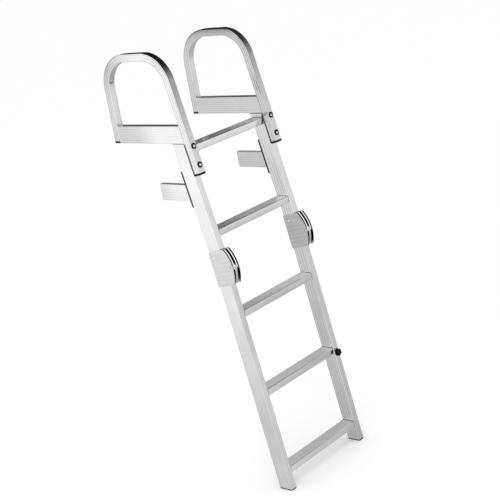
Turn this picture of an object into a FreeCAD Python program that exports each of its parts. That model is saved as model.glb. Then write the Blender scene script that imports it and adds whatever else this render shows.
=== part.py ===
import FreeCAD, Part
import math
import os

# Folding boat ladder: a ribbed aluminium stile on each side, hinged at mid-height, with
# level treads, handrail hoops on deck bars, and standoffs against the hull.
# Millimetres. +X runs from the left stile to the right one, +Y towards the boat, +Z up.
# The origin lies on the underside of the left deck bar, in the plane of the standoff pads.

# Stiles
stile_spacing = 380.0        # between the middles of the two stiles
stile_width = 26.0           # across the ladder
stile_depth = 50.0           # front to rear
stile_wall = 2.2
stile_corner = 2.5
lower_play = 0.4             # each side, between a lower stile and the hinge cheeks
upper_lean = 11.1            # degrees that the upper section leans out at its foot
lower_lean = 8.2             # degrees that the lower section leans out at its foot
front_at_deck = -147.0       # front face of the stiles at deck level
foot_drop = 69.9             # from the lowest tread's top to the stile's level end
foot_thick = 3.5
stile_cap_thick = 2.0

# Treads
tread_pitch = 271.4          # height from one tread to the next
first_tread_top = -14.0      # top of the highest tread, below deck level
upper_treads = 2
lower_treads = 3
tread_depth = 48.0
tread_height = 23.0
tread_setback = 1.1          # behind the front face of the stiles
tread_wall = 2.5
tread_corner = 2.0           # broken edges along the tread
tread_groove_count = 9

# Deck bars and handrail hoops
bar_height = 57.0
bar_rear = 141.0             # where the deck bar meets the hoop's rear leg
bar_side_groove_count = 7
bar_face_groove_count = 2
seat_step = 0.6              # the stile's cap sits this far up into the bar's underside
hoop_tube = 25.0             # size of the hoop's tube in the plane of the hoop
hoop_height = 290.0          # top of the hoop above deck level
hoop_bend = 100.0            # bend radius at the middle of the tube
hoop_wall = 2.2
hoop_corner = 2.0            # broken edges along the hoop's tube
shim_thick = 1.5             # black shim between the front leg and the stile
leg_below_deck = 103.0       # how far the front leg runs down the stile
leg_cap_thick = 4.0

# Bolts that clamp the front leg to the stile
bolt_downs = (14.0, 75.0)    # along the stile, below deck level
bolt_neck = 8.0              # size of the bolt's square neck
bolt_hole_play = 0.25        # each side, round the neck
bolt_head_radius = 7.0
bolt_crown_radius = 4.0
bolt_head_height = 4.2
washer_radius = 9.5
washer_thick = 1.8
bolt_past_wall = 6.0

# Standoffs
plate_top_down = 82.0        # along the stile, below deck level
plate_length = 120.0
plate_thick = 5.0
standoff_width = 18.0
standoff_height = 50.0
standoff_top = -137.0
standoff_wall = 2.0
standoff_side_groove_count = 5
standoff_face_groove_count = 1
pad_thick = 4.0

# Hinges
pivot_down = 412.0           # along the stile, below deck level
pivot_ahead = 20.5           # in front of the stile's front face
cheek_thick = 2.8
cheek_half = 59.0            # from the pivot's level to each end of the cheek
cheek_end_ahead = 16.0       # how far the cheek's ends stand in front of the stile
cheek_ahead = 33.5           # how far its middle stands in front of the stile
cheek_behind_top = 1.0       # how far its rear edge stands behind the stile, at the top
cheek_behind_foot = 6.0      # and at the foot
cheek_front_round = 7.0
cheek_rear_round = 4.0
pin_radius = 5.0
pin_play = 0.08              # running clearance of the pin in the tongue
pin_proud = 1.2              # how far the pin's ends stand out of the cheeks
tongue_width = 9.0
tongue_play = 0.4            # each side, between the tongue and the ears
tongue_inset = 1.5           # its edge stands back from the cheek's edge
tongue_end = 2.0             # and from the cheek's lower end
tongue_base = 3.0            # thickness of the full-width plate that carries the tongue
eye_radius = 11.5
ear_thick = 4.0              # white plates on both sides of the tongue
ear_inset = 0.5
block_inset = 1.2            # black blocks stand back from the cheek's edge
block_over_pin = 1.0
boss_radius = 12.5           # round ends of the ears about the pin
slot_floor = 2.0             # clearance behind the tongue when the ladder is folded
end_gap = 0.4                # between the ends of the upper and lower stiles
rivet_down = 20.0            # below the cheek's top edge
rivet_behind = 34.0          # behind the stile's front face
rivet_head_radius = 5.0
rivet_crown_radius = 3.0
rivet_head_height = 1.6

# Rubber knob on the right lower stile
knob_down = 449.0            # along the lower stile, below the pivot's level
knob_lobe_radius = 5.0
knob_lobe_offset = 5.0       # from the knob's middle to the middle of each lobe
knob_lobe_count = 5
knob_height = 11.0

# Grooves rolled along the tubes
groove_width = 1.6
groove_deep = 0.6
stile_side_groove_count = 4
stile_face_groove_count = 2
hoop_side_groove_count = 1

os.makedirs("parts", exist_ok=True)
V = FreeCAD.Vector
X_AXIS = V(1, 0, 0)
tread_count = upper_treads + lower_treads
beyond = 2 * (hoop_height + tread_count * tread_pitch)


def save(shape, node):
    shape.exportStep("parts/%s.step" % node)
    box = shape.BoundBox
    print("%-26s solids %d valid %s  x %.1f %.1f  y %.1f %.1f  z %.1f %.1f" % (
        node, len(shape.Solids), shape.isValid(), box.XMin, box.XMax,
        box.YMin, box.YMax, box.ZMin, box.ZMax))


def lean_placement(base, lean):
    # local Y runs to the rear, square to the stile, and local Z runs up along it
    return FreeCAD.Placement(base, FreeCAD.Rotation(X_AXIS, -lean))


def stand(shape, base, lean):
    return shape.transformed(lean_placement(base, lean).toMatrix())


def grooved_side(start, end, out, count):
    # points of one flat side of a tube with evenly spaced V grooves
    along = (end - start).normalize()
    pitch = (end - start).Length / max(count, 1)
    points = [start]
    for i in range(count):
        middle = pitch * (i + 0.5)
        points.append(start + along * (middle - groove_width / 2))
        points.append(start + along * middle - out * groove_deep)
        points.append(start + along * (middle + groove_width / 2))
    points.append(end)
    return points


def tube_outline(width, depth, corner, side_count, face_count, rounded=True):
    # closed outline in XY: width across X about the middle, depth from Y 0 to Y depth
    half = width / 2
    r = corner
    sides = [
        (V(-half + r, 0, 0), V(half - r, 0, 0), V(0, -1, 0), face_count, V(half - r, r, 0)),
        (V(half, r, 0), V(half, depth - r, 0), V(1, 0, 0), side_count, V(half - r, depth - r, 0)),
        (V(half - r, depth, 0), V(-half + r, depth, 0), V(0, 1, 0), face_count, V(-half + r, depth - r, 0)),
        (V(-half, depth - r, 0), V(-half, r, 0), V(-1, 0, 0), side_count, V(-half + r, r, 0)),
    ]
    edges = []
    for i, (start, end, out, count, centre) in enumerate(sides):
        points = grooved_side(start, end, out, count)
        for a, b in zip(points[:-1], points[1:]):
            edges.append(Part.LineSegment(a, b).toShape())
        after = sides[(i + 1) % len(sides)]
        if rounded:
            turn = (out + after[2]).normalize() * r
            edges.append(Part.Arc(end, centre + turn, after[0]).toShape())
        else:
            edges.append(Part.LineSegment(end, after[0]).toShape())
    return Part.Wire(edges)


def tube_hollow(width, depth, wall):
    half = width / 2 - wall
    corners = [V(-half, wall, 0), V(half, wall, 0), V(half, depth - wall, 0), V(-half, depth - wall, 0)]
    return Part.makePolygon(corners + corners[:1])


def tube(width, depth, wall, corner, side_count, face_count, length):
    # a straight hollow length, run up from the XY plane
    outline = tube_outline(width, depth, corner, side_count, face_count)
    solid = Part.Face(outline).extrude(V(0, 0, length))
    hollow = Part.Face(tube_hollow(width, depth, wall)).extrude(V(0, 0, length + 2))
    hollow.translate(V(0, 0, -1))
    return solid.cut(hollow)


def stile(width, low, high):
    # a straight length of the stile's tube, in the stile's own axes
    length = tube(width, stile_depth, stile_wall, stile_corner,
                  stile_side_groove_count, stile_face_groove_count, high - low)
    length.translate(V(0, 0, low))
    return length


def half_space(point, normal):
    # a large block on the side of a plane that its normal points to
    block = Part.makeBox(beyond, beyond, beyond, V(-beyond / 2, -beyond / 2, 0))
    place = FreeCAD.Placement(point, FreeCAD.Rotation(V(0, 0, 1), normal))
    return block.transformed(place.toMatrix())


def cylinder(centre, axis, radius, length):
    return Part.makeCylinder(radius, length, centre, axis)


def across_edges(shape):
    # edges that run straight across the ladder
    found = []
    for edge in shape.Edges:
        start = edge.Vertexes[0].Point
        end = edge.Vertexes[-1].Point
        if abs(end.x - start.x) > 0.5 * (end - start).Length > 0:
            found.append(edge)
    return found


# Where each side stands, and the two leaning frames
side_x = {"left": 0.0, "right": stile_spacing}
outward = {"left": -1.0, "right": 1.0}
upper_rotation = FreeCAD.Rotation(X_AXIS, -upper_lean)
lower_rotation = FreeCAD.Rotation(X_AXIS, -lower_lean)
upper_rear = upper_rotation.multVec(V(0, 1, 0))
upper_up = upper_rotation.multVec(V(0, 0, 1))
lower_rear = lower_rotation.multVec(V(0, 1, 0))
lower_up = lower_rotation.multVec(V(0, 0, 1))


def upper_base(x):
    return V(x, front_at_deck, 0)


def pivot_at(x):
    return upper_base(x) - upper_up * pivot_down - upper_rear * pivot_ahead


def lower_base(x):
    # foot of the pivot on the lower stile's front face
    return pivot_at(x) + lower_rear * pivot_ahead


def upper_stile(x):
    # square to the pivot at its foot, level under the deck bar at its head
    reach = stile_depth
    body = stile(stile_width, -pivot_down + end_gap / 2, reach)
    body = stand(body, upper_base(x), upper_lean)
    body = body.cut(half_space(V(x, 0, seat_step - stile_cap_thick), V(0, 0, 1)))
    for down in bolt_downs:
        body = body.cut(bolt_shank(x, down, bolt_hole_play))
    return body


def stile_cap(x):
    # thin level cap between the stile's head and the deck bar
    slab = Part.makeBox(stile_width, 4 * stile_depth, stile_cap_thick,
                        V(x - stile_width / 2, front_at_deck - 2 * stile_depth,
                          seat_step - stile_cap_thick))
    body = Part.makeBox(stile_width, stile_depth, 4 * stile_depth, V(-stile_width / 2, 0, -2 * stile_depth))
    return slab.common(stand(body, upper_base(x), upper_lean))


def bolt_shank(x, down, play):
    # square length that a bolt takes up through the leg, the shim and the stile's front wall
    half = bolt_neck / 2 + play
    start = -shim_thick - hoop_tube
    length = stile_wall + bolt_past_wall - start
    block = Part.makeBox(2 * half, length, 2 * half, V(-half, start, -down - half))
    return stand(block, upper_base(x), upper_lean)


def foot_level():
    return first_tread_top - (tread_count - 1) * tread_pitch - foot_drop


def lower_stile(x):
    # its head is cut to the plane of the upper stile's end, so that the two ends meet at rest
    reach = beyond / 2
    body = stile(stile_width - 2 * lower_play, -reach, stile_depth)
    body = stand(body, lower_base(x), lower_lean)
    body = body.cut(half_space(pivot_at(x) - upper_up * (end_gap / 2), upper_up))
    return body.cut(half_space(V(x, 0, foot_level()), V(0, 0, -1)))


def foot(x):
    # level rubber pad that closes the stile's lower end
    width = stile_width - 2 * lower_play
    pad = end_cap(width, stile_depth, stile_corner, beyond)
    pad.translate(V(0, 0, -beyond))
    pad = stand(pad, lower_base(x), lower_lean)
    pad = pad.cut(half_space(V(x, 0, foot_level()), V(0, 0, 1)))
    return pad.cut(half_space(V(x, 0, foot_level() - foot_thick), V(0, 0, -1)))


def tread(top, front, width):
    # hollow tread with a ribbed top, run across the ladder between the stiles
    inner = stile_spacing - width
    ribs = tread_outline(tread_depth, tread_height)
    core = Part.makePolygon([
        V(tread_wall, -tread_height + tread_wall, 0),
        V(tread_depth - tread_wall, -tread_height + tread_wall, 0),
        V(tread_depth - tread_wall, -tread_wall, 0),
        V(tread_wall, -tread_wall, 0),
        V(tread_wall, -tread_height + tread_wall, 0)])
    bar = Part.Face(ribs).extrude(V(0, 0, inner))
    bar = bar.cut(Part.Face(core).extrude(V(0, 0, inner)))
    # section axes (rearwards, up) become Y and Z, and the run becomes X
    turn = FreeCAD.Matrix(0, 0, 1, 0, 1, 0, 0, 0, 0, 1, 0, 0, 0, 0, 0, 1)
    bar = bar.transformed(turn)
    bar.translate(V(width / 2, front, top))
    return bar


def tread_outline(depth, height):
    c = tread_corner
    points = grooved_side(V(depth - c, 0, 0), V(c, 0, 0), V(0, 1, 0), tread_groove_count)
    points += [V(0, -c, 0), V(0, -height + c, 0), V(c, -height, 0),
               V(depth - c, -height, 0), V(depth, -height + c, 0), V(depth, -c, 0)]
    return Part.makePolygon(points + points[:1])


def leg_plane(x):
    # a point on the rear face of the hoop's front leg
    return upper_base(x) - upper_rear * shim_thick


def deck_bar(x):
    # ribbed tube from the hoop's rear leg to the front leg, cut to the front leg's lean
    reach = bar_rear - front_at_deck + bar_height
    bar = tube(stile_width, bar_height, stile_wall, stile_corner,
               bar_side_groove_count, bar_face_groove_count, reach)
    # section's Y becomes Z and its run goes to the front
    bar = bar.transformed(FreeCAD.Placement(V(x, bar_rear, 0), FreeCAD.Rotation(X_AXIS, 90)).toMatrix())
    bar = bar.cut(half_space(leg_plane(x), upper_rear * -1))
    return bar.cut(stile_cap(x))


def hoop_runs(x, section):
    # one section swept along the front leg, a bend, the level top, a bend and the rear leg
    half = hoop_tube / 2
    low = leg_plane(x) - upper_rear * half - upper_up * leg_below_deck
    height = hoop_height - half - hoop_bend
    rise = (height - low.z) / math.cos(math.radians(upper_lean))
    front_rise = rise + hoop_bend * math.tan(math.radians(upper_lean))
    front_centre = low + upper_up * front_rise + upper_rear * hoop_bend
    rear_centre = V(x, bar_rear + half - hoop_bend, height)

    start = section.transformed(FreeCAD.Placement(low, upper_rotation).toMatrix())
    leg = start.extrude(upper_up * front_rise)
    start.translate(upper_up * front_rise)
    bend = start.revolve(front_centre, X_AXIS, upper_lean - 90)
    start.rotate(front_centre, X_AXIS, upper_lean - 90)
    run = rear_centre.y - front_centre.y
    level = start.extrude(V(0, run, 0))
    start.translate(V(0, run, 0))
    rear_bend = start.revolve(rear_centre, X_AXIS, -90)
    start.rotate(rear_centre, X_AXIS, -90)
    rear_leg = start.extrude(V(0, 0, leg_cap_thick - height))
    return leg.fuse([bend, level, rear_bend, rear_leg])


def hoop(x):
    outline = Part.Face(tube_outline(stile_width, hoop_tube, hoop_corner,
                                     hoop_side_groove_count, 0, False))
    hollow = Part.Face(tube_hollow(stile_width, hoop_tube, hoop_wall))
    for face in (outline, hollow):
        face.translate(V(0, -hoop_tube / 2, 0))
    body = hoop_runs(x, outline).cut(hoop_runs(x, hollow))
    for down in bolt_downs:
        body = body.cut(bolt_shank(x, down, bolt_hole_play))
    return body.removeSplitter()


def end_cap(width, depth, corner, thick):
    # plain closed end for a tube, with broken edges
    face = Part.Face(tube_outline(width, depth, corner, 0, 0, False))
    return face.extrude(V(0, 0, thick))


def leg_front_cap(x):
    # black cap on the leg's end, in one piece with the shim between the leg and the stile
    cap = end_cap(stile_width, hoop_tube + shim_thick, hoop_corner, leg_cap_thick)
    cap.translate(V(0, -hoop_tube - shim_thick, -leg_below_deck - leg_cap_thick))
    shim = Part.makeBox(stile_width, shim_thick, leg_below_deck + bar_height,
                        V(-stile_width / 2, -shim_thick, -leg_below_deck))
    piece = stand(cap.fuse(shim), upper_base(x), upper_lean)
    piece = piece.cut(half_space(V(x, 0, 0), V(0, 0, 1)))
    for down in bolt_downs:
        piece = piece.cut(bolt_shank(x, down, bolt_hole_play))
    return piece.removeSplitter()


def leg_rear_cap(x):
    cap = end_cap(stile_width, hoop_tube, hoop_corner, leg_cap_thick)
    cap.translate(V(x, bar_rear, 0))
    return cap


def turned(profile, place, axis):
    # a solid of revolution from (radius, height) points, stood on a point along an axis
    points = [V(r, 0, h) for r, h in profile]
    face = Part.Face(Part.makePolygon(points + points[:1]))
    solid = face.revolve(V(0, 0, 0), V(0, 0, 1), 360)
    placement = FreeCAD.Placement(place, FreeCAD.Rotation(V(0, 0, 1), axis))
    return solid.transformed(placement.toMatrix())


def leg_bolts(x):
    # coach bolts: crowned heads on washers, with square necks through the leg into the stile
    crown = washer_thick + bolt_head_height
    profile = [(0, 0), (washer_radius, 0), (washer_radius, washer_thick),
               (bolt_head_radius, washer_thick), (bolt_crown_radius, crown), (0, crown)]
    bolts = []
    for down in bolt_downs:
        seat = leg_plane(x) - upper_up * down - upper_rear * hoop_tube
        bolts.append(turned(profile, seat, upper_rear * -1).fuse(bolt_shank(x, down, 0)))
    return Part.makeCompound(bolts)


def standoff_plate(x):
    plate = Part.makeBox(stile_width, plate_thick, plate_length,
                         V(-stile_width / 2, stile_depth, -plate_top_down - plate_length))
    return stand(plate, upper_base(x), upper_lean)


def standoff(x):
    # ribbed tube from the plate to the pad
    reach = -front_at_deck
    bar = tube(standoff_width, standoff_height, standoff_wall, stile_corner,
               standoff_side_groove_count, standoff_face_groove_count, reach)
    base = V(x, -pad_thick, standoff_top - standoff_height)
    bar = bar.transformed(FreeCAD.Placement(base, FreeCAD.Rotation(X_AXIS, 90)).toMatrix())
    seat = upper_base(x) + upper_rear * (stile_depth + plate_thick)
    return bar.cut(half_space(seat, upper_rear * -1))


def standoff_pad(x):
    pad = end_cap(standoff_width, standoff_height, stile_corner, pad_thick)
    base = V(x, 0, standoff_top - standoff_height)
    return pad.transformed(FreeCAD.Placement(base, FreeCAD.Rotation(X_AXIS, 90)).toMatrix())


def bow_arc(inset):
    # the cheek's bowed front edge, set back by an inset: radius and centre of its circle
    rise = cheek_ahead - cheek_end_ahead
    radius = (cheek_half ** 2 + rise ** 2) / (2 * rise)
    return radius - inset, radius - cheek_ahead


def bow_prism(inset, low, high, near, far):
    # what the bowed edge encloses between two heights, from X near to X far, in front of the stile
    radius, centre = bow_arc(inset)
    disc = cylinder(V(near, centre, 0), X_AXIS, radius, far - near)
    keep = Part.makeBox(far - near, 2 * radius, high - low, V(near, -2 * radius, low))
    return disc.common(keep)


def at_pivot_level(shape, x):
    # from axes about the pivot's level on the stile's front face to the upper stile's place
    moved = shape.copy()
    moved.translate(V(0, 0, -pivot_down))
    return stand(moved, upper_base(x), upper_lean)


def cheek(x, side):
    # side is -1 or 1: the cheek lies on that face of the stile
    near = side * stile_width / 2
    top = V(0, -cheek_end_ahead, cheek_half)
    foot_end = V(0, -cheek_end_ahead, -cheek_half)
    rear_foot = V(0, stile_depth + cheek_behind_foot, -cheek_half)
    rear_top = V(0, stile_depth + cheek_behind_top, cheek_half)
    edges = [
        Part.Arc(top, V(0, -cheek_ahead, 0), foot_end).toShape(),
        Part.LineSegment(foot_end, rear_foot).toShape(),
        Part.LineSegment(rear_foot, rear_top).toShape(),
        Part.LineSegment(rear_top, top).toShape(),
    ]
    plate = Part.Face(Part.Wire(edges)).extrude(V(side * cheek_thick, 0, 0))
    front = [edge for edge in across_edges(plate) if edge.Vertexes[0].Point.y < 0]
    plate = plate.makeFillet(cheek_front_round, front)
    rear = [edge for edge in across_edges(plate) if edge.Vertexes[0].Point.y > stile_depth]
    plate = plate.makeFillet(cheek_rear_round, rear)
    plate.translate(V(near, 0, 0))
    hole = cylinder(V(near - side, -pivot_ahead, 0), V(side, 0, 0), pin_radius, cheek_thick + 2)
    return at_pivot_level(plate.cut(hole), x)


def ear(near, far):
    # upper half of the hinge between two X places, rounded about the pin below its level
    body = bow_prism(ear_inset, 0.0, cheek_half - ear_inset, near, far)
    boss = cylinder(V(near, -pivot_ahead, 0), X_AXIS, boss_radius, far - near)
    body = body.fuse(boss).removeSplitter()
    return body.cut(cylinder(V(near - 1, -pivot_ahead, 0), X_AXIS, pin_radius, far - near + 2))


def ear_places():
    # X places of the ears' inner and outer faces
    inner = tongue_width / 2 + tongue_play
    return inner, inner + ear_thick


def hinge_ears(x):
    # two white plates that carry the pin on both sides of the tongue
    inner, outer = ear_places()
    return at_pivot_level(Part.makeCompound([ear(-outer, -inner), ear(inner, outer)]), x)


def hinge_blocks(x):
    # black fillers: one between each ear and its cheek, and one behind the folded tongue
    inner, outer = ear_places()
    half = stile_width / 2
    low = pin_radius + block_over_pin
    high = cheek_half - block_inset
    sides = [bow_prism(block_inset, low, high, -half, -outer), bow_prism(block_inset, low, high, outer, half)]
    middle = bow_prism(block_inset, 0.0, high, -inner, inner)
    radius, centre = bow_arc(tongue_inset - slot_floor)
    folded = cylinder(V(-half, -2 * pivot_ahead - centre, 0), X_AXIS, radius, 2 * half)
    return at_pivot_level(Part.makeCompound(sides + [middle.cut(folded)]), x)


def hinge_pin(x):
    end = stile_width / 2 + cheek_thick + pin_proud
    return cylinder(pivot_at(x) - X_AXIS * end, X_AXIS, pin_radius, 2 * end)


def hinge_rivets(x):
    # crowned heads of the rivet that holds the two cheeks to the stile
    profile = [(0, 0), (rivet_head_radius, 0), (rivet_crown_radius, rivet_head_height), (0, rivet_head_height)]
    half = stile_width / 2 + cheek_thick
    place = upper_base(x) - upper_up * (pivot_down - cheek_half + rivet_down) + upper_rear * rivet_behind
    return Part.makeCompound([turned(profile, place + X_AXIS * side * half, X_AXIS * side) for side in (-1, 1)])


def tongue(x):
    # the lower section's knuckle: an eye round the pin, on a plate along the stile's front
    half = tongue_width / 2
    low = cheek_half - tongue_end
    web = bow_prism(tongue_inset, -low, -tongue_end, -half, half)
    eye = cylinder(V(-half, -pivot_ahead, 0), X_AXIS, eye_radius, tongue_width)
    width = stile_width - 2 * lower_play
    base = Part.makeBox(width, tongue_base, low - tongue_end, V(-width / 2, -tongue_base, -low))
    body = web.fuse([eye, base]).removeSplitter()
    hole = cylinder(V(-half - 1, -pivot_ahead, 0), X_AXIS, pin_radius + pin_play, tongue_width + 2)
    return stand(body.cut(hole), lower_base(x), lower_lean)


def knob(x):
    # lobed rubber knob on the front face of the stile
    piece = Part.makeCylinder(knob_lobe_offset, knob_height)
    for i in range(knob_lobe_count):
        angle = 2 * math.pi * i / knob_lobe_count
        middle = V(math.cos(angle), math.sin(angle), 0) * knob_lobe_offset
        piece = piece.fuse(Part.makeCylinder(knob_lobe_radius, knob_height, middle))
    seat = lower_base(x) - lower_up * knob_down
    placement = FreeCAD.Placement(seat, FreeCAD.Rotation(V(0, 0, 1), lower_rear * -1))
    return piece.removeSplitter().transformed(placement.toMatrix())


def both_sides(make):
    # the small pieces of both sides, as separate solids in one node
    solids = []
    for x in side_x.values():
        solids.extend(make(x).Solids)
    return Part.makeCompound(solids)


def upper_front(z):
    return front_at_deck + z * math.tan(math.radians(upper_lean))


def lower_front(z):
    base = lower_base(0)
    return base.y + (z - base.z) * math.tan(math.radians(lower_lean))


for name, x in side_x.items():
    save(upper_stile(x), name + "_upper_stile")
    save(stile_cap(x), name + "_stile_cap")
    save(lower_stile(x), name + "_lower_stile")
    save(foot(x), name + "_foot")
    save(deck_bar(x), name + "_deck_bar")
    save(hoop(x), name + "_handrail_hoop")
    save(leg_front_cap(x), name + "_front_leg_cap")
    save(leg_rear_cap(x), name + "_rear_leg_cap")
    save(standoff_plate(x), name + "_standoff_plate")
    save(standoff(x), name + "_standoff")
    save(standoff_pad(x), name + "_standoff_pad")
    save(cheek(x, outward[name]), name + "_outer_cheek")
    save(cheek(x, -outward[name]), name + "_inner_cheek")
    save(tongue(x), name + "_hinge_tongue")

for i in range(tread_count):
    top = first_tread_top - i * tread_pitch
    if i < upper_treads:
        step = tread(top, upper_front(top) + tread_setback, stile_width)
    else:
        step = tread(top, lower_front(top) + tread_setback, stile_width - 2 * lower_play)
    save(step, "tread_%d" % (i + 1))

save(knob(side_x["right"]), "right_rubber_knob")
save(both_sides(leg_bolts), "leg_bolts")
save(both_sides(hinge_ears), "hinge_ears")
save(both_sides(hinge_blocks), "hinge_blocks")
save(both_sides(hinge_pin), "hinge_pins")
save(both_sides(hinge_rivets), "hinge_rivets")
print("pivot", pivot_at(0))
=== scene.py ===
import math

import bpy
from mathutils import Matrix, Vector


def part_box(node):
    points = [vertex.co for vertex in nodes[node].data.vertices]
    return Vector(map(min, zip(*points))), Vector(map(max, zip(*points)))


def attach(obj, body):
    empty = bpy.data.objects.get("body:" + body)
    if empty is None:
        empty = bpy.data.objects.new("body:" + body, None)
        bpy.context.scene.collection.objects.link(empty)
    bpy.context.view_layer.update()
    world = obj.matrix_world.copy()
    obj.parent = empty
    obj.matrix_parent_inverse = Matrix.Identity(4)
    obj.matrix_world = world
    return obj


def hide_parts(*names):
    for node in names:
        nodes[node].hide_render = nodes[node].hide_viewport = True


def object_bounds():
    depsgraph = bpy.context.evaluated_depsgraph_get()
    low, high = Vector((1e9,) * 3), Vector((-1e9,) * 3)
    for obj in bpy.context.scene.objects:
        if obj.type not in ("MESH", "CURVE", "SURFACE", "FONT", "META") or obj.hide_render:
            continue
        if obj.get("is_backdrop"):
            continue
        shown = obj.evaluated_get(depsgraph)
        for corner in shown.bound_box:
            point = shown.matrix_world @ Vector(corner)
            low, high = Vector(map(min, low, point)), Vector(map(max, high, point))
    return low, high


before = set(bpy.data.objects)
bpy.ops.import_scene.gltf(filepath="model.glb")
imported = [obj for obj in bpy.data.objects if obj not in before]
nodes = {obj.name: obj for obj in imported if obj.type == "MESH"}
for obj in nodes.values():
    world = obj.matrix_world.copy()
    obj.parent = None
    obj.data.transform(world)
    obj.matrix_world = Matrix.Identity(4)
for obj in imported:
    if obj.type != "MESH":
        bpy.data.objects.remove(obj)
lowCorner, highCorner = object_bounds()
cadBox = [list(lowCorner), list(highCorner)]
print("frame loaded:", len(nodes), "nodes")

mm = 0.001

# Where the ladder stands: the same numbers as the solids, in millimetres and degrees
ladder = {
    "leftX": 0.0,
    "rightX": 380.0,
    "frontAtDeck": -147.0,
    "upperLean": 11.1,
    "lowerLean": 8.2,
    "pivotDown": 412.0,
    "stileWidth": 26.0,
    "stileDepth": 50.0,
}


def leaning(lean):
    # rearward and upward directions of a section that leans out at its foot
    angle = math.radians(lean)
    rear = Vector((0, math.cos(angle), -math.sin(angle)))
    up = Vector((0, math.sin(angle), math.cos(angle)))
    return rear, up


upperRear, upperUp = leaning(ladder["upperLean"])
lowerRear, lowerUp = leaning(ladder["lowerLean"])


def onUpper(x, behind, up):
    # a point of the upper section, from the stile's front face at deck level
    base = Vector((x, ladder["frontAtDeck"], 0))
    return base + upperRear * behind + upperUp * up


# Materials


def linearColour(hexText):
    channels = [int(hexText[i:i + 2], 16) / 255 for i in (0, 2, 4)]
    return [c / 12.92 if c <= 0.04045 else ((c + 0.055) / 1.055) ** 2.4 for c in channels] + [1.0]


def addNode(tree, kind, feeds=None, **settings):
    # one node with its settings, and a value or another node's output for each named socket
    node = tree.nodes.new(kind)
    for name, value in settings.items():
        setattr(node, name, value)
    for socket, source in (feeds or {}).items():
        if isinstance(source, bpy.types.NodeSocket):
            tree.links.new(source, node.inputs[socket])
        else:
            node.inputs[socket].default_value = source
    return node


def newMaterial(name, **settings):
    # a material with its surface shader, whose plain settings stay on the shader's own sockets
    material = bpy.data.materials.new(name)
    material.use_nodes = True
    tree = material.node_tree
    tree.nodes.clear()
    shader = addNode(tree, "ShaderNodeBsdfPrincipled", settings)
    output = addNode(tree, "ShaderNodeOutputMaterial")
    tree.links.new(shader.outputs["BSDF"], output.inputs["Surface"])
    return material, tree, shader


def extrudedAluminium(name, finish, lean=0.0, along="Z"):
    # aluminium pushed through a die and anodised: fine lines along its length, a soft sheen across it
    material, tree, shader = newMaterial(name, Metallic=1.0)
    place = addNode(tree, "ShaderNodeTexCoord")
    # turned so that the piece's length lies along one axis, then squeezed along that axis
    start = place.outputs["UV" if along == "UV" else "Object"]
    turned = addNode(tree, "ShaderNodeMapping", {"Vector": start, "Rotation": (math.radians(lean), 0, 0)})
    squeeze = {"X": (0.01, 1, 1), "Y": (1, 0.01, 1), "Z": (1, 1, 0.01), "UV": (1, 0.01, 1)}[along]
    streak = addNode(tree, "ShaderNodeMapping", {"Vector": turned.outputs["Vector"], "Scale": squeeze})
    # die lines are about 0.3 mm apart, drawn 2.5 mm apart here so that they show
    lines = addNode(tree, "ShaderNodeTexNoise", {"Vector": streak.outputs["Vector"],
                                                 "Scale": 1 / (finish["linePitch"] * mm),
                                                 "Detail": 2.0, "Roughness": 0.6})
    # the anodising bath leaves slow cloudy changes, a hand's width apart
    cloud = addNode(tree, "ShaderNodeTexNoise", {"Vector": place.outputs["Object"],
                                                 "Scale": 1 / (finish["cloudSize"] * mm), "Detail": 3.0})
    both = addNode(tree, "ShaderNodeMath", {0: lines.outputs["Fac"], 1: cloud.outputs["Fac"]},
                   operation="ADD")
    # the sum of both patterns mostly lies between 0.6 and 1.4
    spread = {"Value": both.outputs["Value"], "From Min": 0.6, "From Max": 1.4}
    tone = addNode(tree, "ShaderNodeMapRange", spread)
    colour = addNode(tree, "ShaderNodeMix", {"Factor": tone.outputs["Result"],
                                             "A": linearColour(finish["dark"]),
                                             "B": linearColour(finish["light"])}, data_type="RGBA")
    rough = addNode(tree, "ShaderNodeMapRange", {**spread, "To Min": finish["smooth"],
                                                 "To Max": finish["rough"]})
    bump = addNode(tree, "ShaderNodeBump", {"Height": lines.outputs["Fac"], "Strength": finish["bump"],
                                            "Distance": finish["bumpDeep"] * mm})
    tree.links.new(colour.outputs["Result"], shader.inputs["Base Color"])
    tree.links.new(rough.outputs["Result"], shader.inputs["Roughness"])
    tree.links.new(bump.outputs["Normal"], shader.inputs["Normal"])
    return material


def mouldedPlastic(name, finish):
    # injection-moulded: one even colour, with a fine spark-eroded grain that dulls its gloss
    material, tree, shader = newMaterial(name, **{"Base Color": linearColour(finish["colour"]),
                                                  "IOR": finish["ior"]})
    place = addNode(tree, "ShaderNodeTexCoord")
    # grain about 0.1 mm in the mould, drawn at 0.8 mm
    grain = addNode(tree, "ShaderNodeTexNoise", {"Vector": place.outputs["Object"],
                                                 "Scale": 1 / (finish["grain"] * mm), "Detail": 2.0})
    rough = addNode(tree, "ShaderNodeMapRange", {"Value": grain.outputs["Fac"],
                                                 "To Min": finish["smooth"], "To Max": finish["rough"]})
    bump = addNode(tree, "ShaderNodeBump", {"Height": grain.outputs["Fac"], "Strength": finish["bump"],
                                            "Distance": finish["bumpDeep"] * mm})
    tree.links.new(rough.outputs["Result"], shader.inputs["Roughness"])
    tree.links.new(bump.outputs["Normal"], shader.inputs["Normal"])
    return material


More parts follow.
